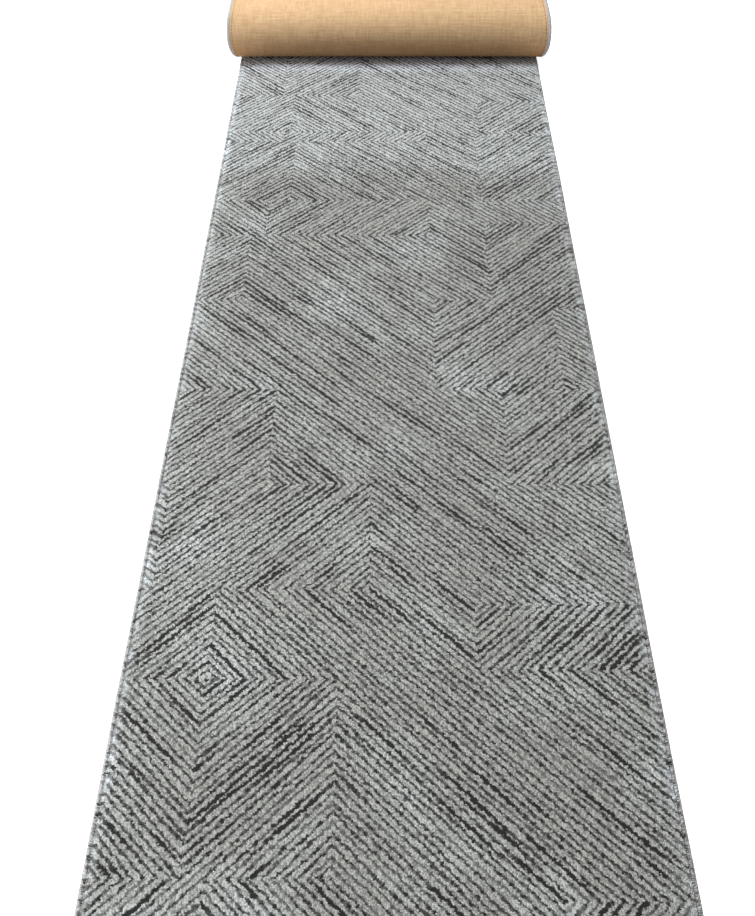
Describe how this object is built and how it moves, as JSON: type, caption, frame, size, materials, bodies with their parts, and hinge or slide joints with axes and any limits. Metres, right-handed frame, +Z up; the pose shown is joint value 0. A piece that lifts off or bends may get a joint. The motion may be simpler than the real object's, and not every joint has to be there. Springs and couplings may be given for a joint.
{
  "type": "runner rug",
  "caption": "Long narrow tufted pile rug with a woven backing and serged edges, its far end rolled up pile-inwards on top of the flat run.",
  "frame": {"origin": "on the floor, under the middle of the rug's box", "axes": "+X across the rug, +Y along it from the near end to the roll, +Z up"},
  "size_m": [0.8, 2.525, 0.1625],
  "materials": {
    "pile_yarn": "short cut pile, light grey with thin charcoal lines",
    "primary_cloth": "plain woven tape yarn",
    "latex": "matt dried latex",
    "backing_cloth": "open plain weave, tan",
    "serging_yarn": "close wrapped yarn, pale blue-grey",
    "seam_thread": "waxed brown thread"
  },
  "bodies": {
    "root": {"pile_face": "pile_yarn", "primary_backing": "primary_cloth", "adhesive_coat": "latex", "secondary_backing": "backing_cloth", "left_edge_serging": "serging_yarn", "right_edge_serging": "serging_yarn", "near_end_serging": "serging_yarn", "rolled_end_serging": "serging_yarn", "left_seam_thread": "seam_thread", "right_seam_thread": "seam_thread", "near_end_seam_thread": "seam_thread", "rolled_end_seam_thread": "seam_thread"}
  },
  "joints": []
}
